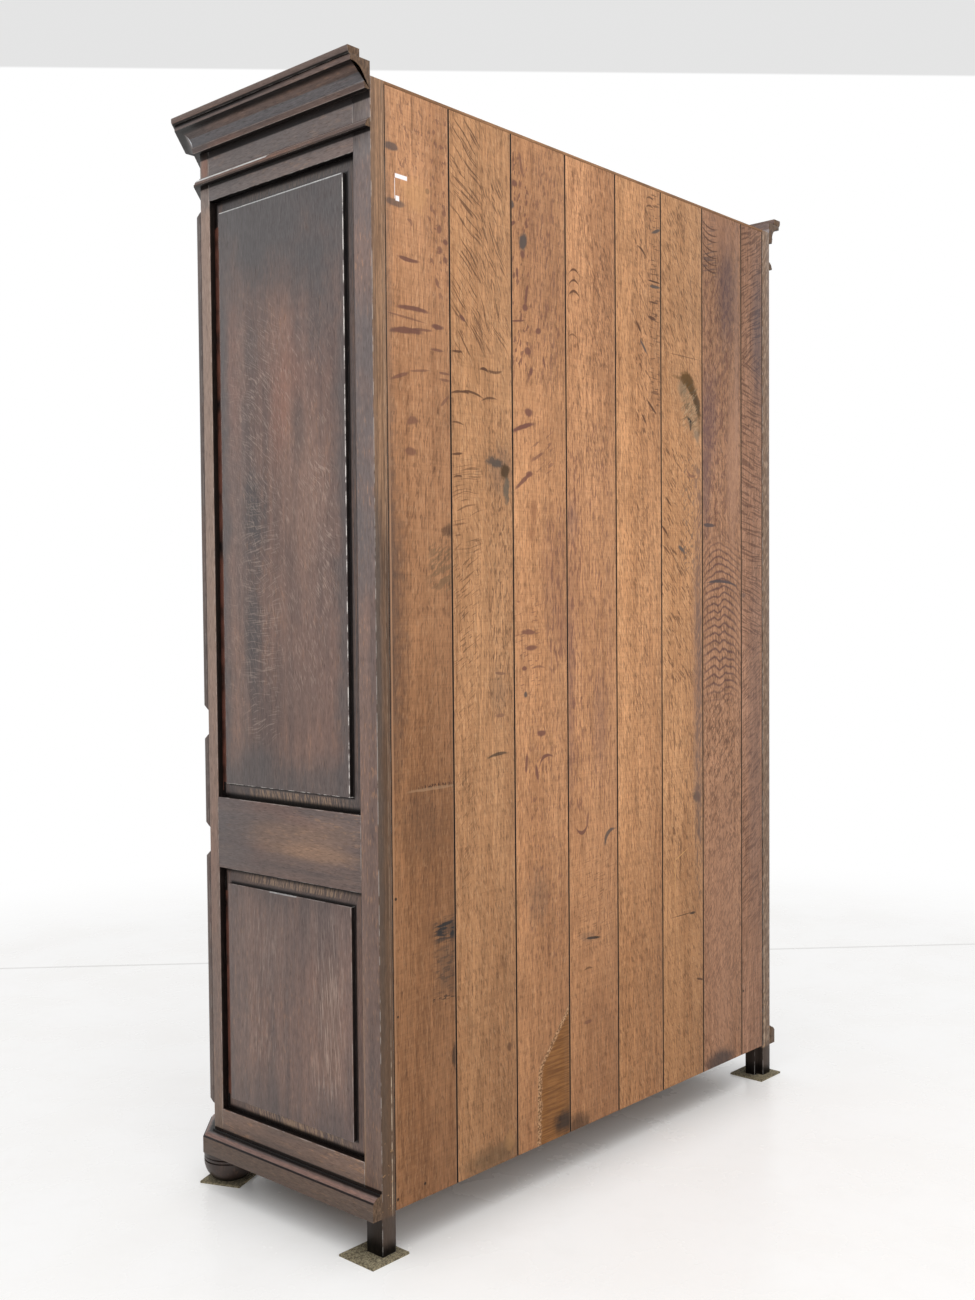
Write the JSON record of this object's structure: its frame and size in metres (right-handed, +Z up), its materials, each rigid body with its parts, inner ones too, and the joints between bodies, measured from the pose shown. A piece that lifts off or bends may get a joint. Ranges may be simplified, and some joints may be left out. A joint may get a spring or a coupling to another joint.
{
  "type": "wardrobe",
  "caption": "Old oak wardrobe with canted front corners, raised and fielded panels, mitred cove cornice, turned front feet and two lockable panelled doors",
  "frame": {"origin": "centre of the bounding box in X and Y, on the floor", "axes": "+X to the right as seen from the front, -Y the front with the doors, +Y the back boards, +Z up"},
  "size_m": [1.444, 0.628, 2.138],
  "materials": {
    "stained_oak": "dark stained and waxed oak, worn satin",
    "back_boards": "unfinished aged oak boards, matt",
    "iron_fittings": "dark worn wrought iron",
    "brass_shields": "aged brass",
    "pads": "speckled recycled felt"
  },
  "bodies": {
    "carcass": {"front_post_right": "stained_oak", "front_post_left": "stained_oak", "rear_post_right": "stained_oak", "rear_post_left": "stained_oak", "side_rails_right": "stained_oak", "side_rails_left": "stained_oak", "side_upper_panel_right": "stained_oak", "side_upper_panel_left": "stained_oak", "side_lower_panel_right": "stained_oak", "side_lower_panel_left": "stained_oak", "front_top_rail": "stained_oak", "front_bottom_rail": "stained_oak", "centre_stile": "stained_oak", "door_stop": "back_boards", "rear_bottom_rail": "back_boards", "top_board": "back_boards", "bottom_board": "back_boards", "back_board_1": "back_boards", "back_board_2": "back_boards", "back_board_3": "back_boards", "back_board_4": "back_boards", "back_board_5": "back_boards", "back_board_6": "back_boards", "back_board_7": "back_boards", "back_board_8": "back_boards", "cornice_moulding": "stained_oak", "cornice_cap": "stained_oak", "frieze_moulding": "stained_oak", "plinth_moulding": "stained_oak", "corner_blocks_right": "stained_oak", "corner_blocks_left": "stained_oak", "front_foot_right": "stained_oak", "front_foot_left": "stained_oak", "foot_blocks": "back_boards", "floor_pads": "pads", "shelf": "back_boards", "bearers": "back_boards", "hanging_rail": "stained_oak", "hinge_pins": "iron_fittings", "lock_keepers": "iron_fittings"},
    "right_door": {"door_stiles_right": "stained_oak", "door_rails_right": "stained_oak", "door_upper_panel_right": "stained_oak", "door_middle_panel_right": "stained_oak", "door_lower_panel_right": "stained_oak", "door_hinges_right": "iron_fittings", "lock_case_right": "iron_fittings", "escutcheon_right": "brass_shields"},
    "left_door": {"door_stiles_left": "stained_oak", "door_rails_left": "stained_oak", "door_upper_panel_left": "stained_oak", "door_middle_panel_left": "stained_oak", "door_lower_panel_left": "stained_oak", "door_hinges_left": "iron_fittings", "lock_case_left": "iron_fittings", "escutcheon_left": "brass_shields"},
    "right_key": {"key_right": "iron_fittings"},
    "left_key": {"key_left": "iron_fittings"},
    "right_bolt": {"lock_bolt_right": "iron_fittings"},
    "left_bolt": {"lock_bolt_left": "iron_fittings"}
  },
  "joints": [
    {"name": "right_door_swing", "type": "hinge", "parent": "carcass", "child": "right_door", "pos_m": [0.5785, -0.269, 1.065], "axis": [0, 0, 1], "range_deg": [0, 115]},
    {"name": "right_key_turn", "type": "hinge", "parent": "right_door", "child": "right_key", "pos_m": [0.063, -0.262, 1.018], "axis": [0, 1, 0], "range_deg": [0, 90]},
    {"name": "right_bolt_slide", "type": "slide", "parent": "right_door", "child": "right_bolt", "axis": [-1, 0, 0], "range_m": [0, 0.014]},
    {"name": "left_door_swing", "type": "hinge", "parent": "carcass", "child": "left_door", "pos_m": [-0.5785, -0.269, 1.065], "axis": [0, 0, -1], "range_deg": [0, 115]},
    {"name": "left_key_turn", "type": "hinge", "parent": "left_door", "child": "left_key", "pos_m": [-0.063, -0.262, 1.018], "axis": [0, 1, 0], "range_deg": [0, 90]},
    {"name": "left_bolt_slide", "type": "slide", "parent": "left_door", "child": "left_bolt", "axis": [1, 0, 0], "range_m": [0, 0.014]}
  ],
  "couplings": [
    {"joint": "right_key_turn", "follows": "right_bolt_slide", "rad_per_m": 112.2},
    {"joint": "left_key_turn", "follows": "left_bolt_slide", "rad_per_m": 112.2}
  ]
}
